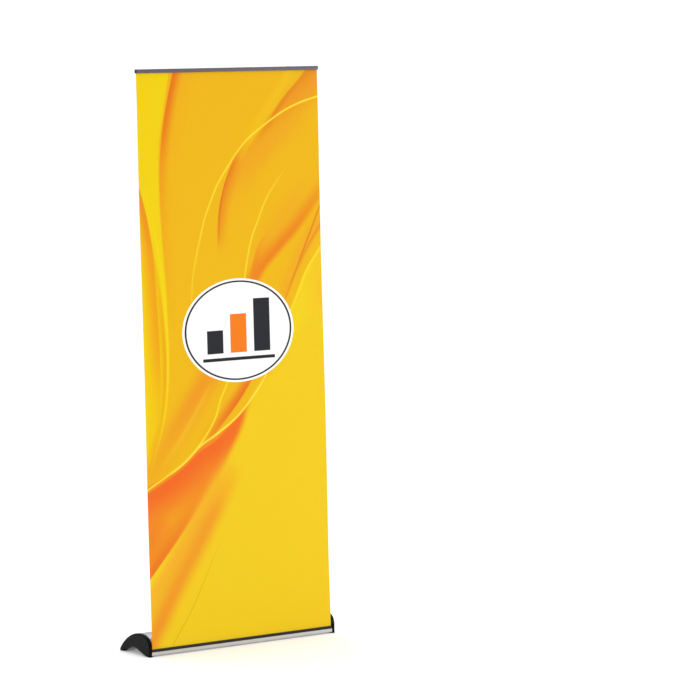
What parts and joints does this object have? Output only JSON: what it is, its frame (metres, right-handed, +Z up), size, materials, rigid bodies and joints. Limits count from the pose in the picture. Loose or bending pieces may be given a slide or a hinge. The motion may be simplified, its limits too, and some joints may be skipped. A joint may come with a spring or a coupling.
{
  "type": "roll-up banner stand",
  "caption": "Free-standing roll-up banner stand: wave-shaped base with a sprung roller, front slot, leaning printed sheet, slim top rail and a telescopic rear pole.",
  "frame": {"origin": "on the floor, at the middle of the base's width and depth", "axes": "+Z up, +X to the right as seen from the printed side, -Y out of the printed side"},
  "size_m": [0.832, 0.19, 2.09],
  "materials": {
    "silver_aluminium": "satin silver anodised extrusion",
    "graphite_aluminium": "satin graphite anodised extrusion",
    "gloss_black": "gloss moulded black",
    "satin_black": "satin moulded black",
    "seal_rubber": "extruded black strip",
    "foot_rubber": "matte grey rubber",
    "steel": "zinc plated",
    "white_plastic": "natural acetal",
    "printed_film": "printed polyester film, satin"
  },
  "bodies": {
    "base": {"base_casing": "silver_aluminium", "slot_seal": "seal_rubber", "slot_bead": "satin_black", "end_cap_left": "gloss_black", "end_cap_right": "gloss_black", "cap_screw_left_front": "steel", "cap_screw_left_rear": "steel", "cap_screw_right_front": "steel", "cap_screw_right_rear": "steel", "front_foot_left": "foot_rubber", "front_foot_right": "foot_rubber", "rear_foot_left": "foot_rubber", "rear_foot_right": "foot_rubber", "pole_socket": "satin_black", "socket_screw_left": "steel", "socket_screw_right": "steel", "idler_bush": "white_plastic", "print_leader": "printed_film", "pole_lower": "silver_aluminium", "pole_foot_plug": "satin_black", "lower_lock_bush": "white_plastic"},
    "roller": {"roller_tube": "steel", "print_on_roller": "printed_film", "idler_plug": "satin_black", "drive_plug": "satin_black", "spindle_guide": "white_plastic"},
    "adjuster": {"tension_adjuster": "gloss_black", "adjuster_clip": "steel", "spring_spindle": "steel", "spring_anchor": "satin_black", "tension_spring": "steel"},
    "lower_lock": {"lower_lock_collar": "satin_black"},
    "pole_middle": {"pole_middle": "silver_aluminium", "middle_end_plug": "satin_black", "upper_lock_bush": "white_plastic"},
    "upper_lock": {"upper_lock_collar": "satin_black"},
    "pole_upper": {"pole_upper": "silver_aluminium", "upper_end_plug": "satin_black", "pole_tip": "satin_black"},
    "rail": {"top_rail": "graphite_aluminium", "header_strip": "white_plastic", "rail_cap_left": "satin_black", "rail_cap_right": "satin_black", "rail_bracket": "satin_black", "bracket_screw_left": "steel", "bracket_screw_right": "steel", "banner_print": "printed_film"}
  },
  "joints": [
    {"name": "rail_slide", "type": "slide", "parent": "base", "child": "rail", "axis": [0, 0, 1], "range_m": [-1.2, 0], "deforming": ["banner_print"]},
    {"name": "pole_middle_slide", "type": "slide", "parent": "base", "child": "pole_middle", "axis": [0, 0, 1], "range_m": [-0.6, 0]},
    {"name": "pole_upper_slide", "type": "slide", "parent": "pole_middle", "child": "pole_upper", "axis": [0, 0, 1], "range_m": [-0.6, 0]},
    {"name": "roller_spin", "type": "hinge", "parent": "base", "child": "roller", "pos_m": [0, -0.046, 0.0385], "axis": [1, 0, 0], "range_deg": [0, 3800]},
    {"name": "adjuster_turn", "type": "hinge", "parent": "base", "child": "adjuster", "pos_m": [0, -0.046, 0.0385], "axis": [1, 0, 0], "range_deg": [0, 1080]},
    {"name": "lower_lock_twist", "type": "hinge", "parent": "base", "child": "lower_lock", "pos_m": [0, 0.00815, 0.74], "axis": [0, 0, 1], "range_deg": [0, 90]},
    {"name": "upper_lock_twist", "type": "hinge", "parent": "pole_middle", "child": "upper_lock", "pos_m": [0, 0.00815, 1.4], "axis": [0, 0, 1], "range_deg": [0, 90]}
  ],
  "couplings": [
    {"joint": "pole_middle_slide", "follows": "rail_slide", "ratio": 0.5},
    {"joint": "pole_upper_slide", "follows": "rail_slide", "ratio": 0.5},
    {"joint": "roller_spin", "follows": "rail_slide", "rad_per_m": -55}
  ]
}
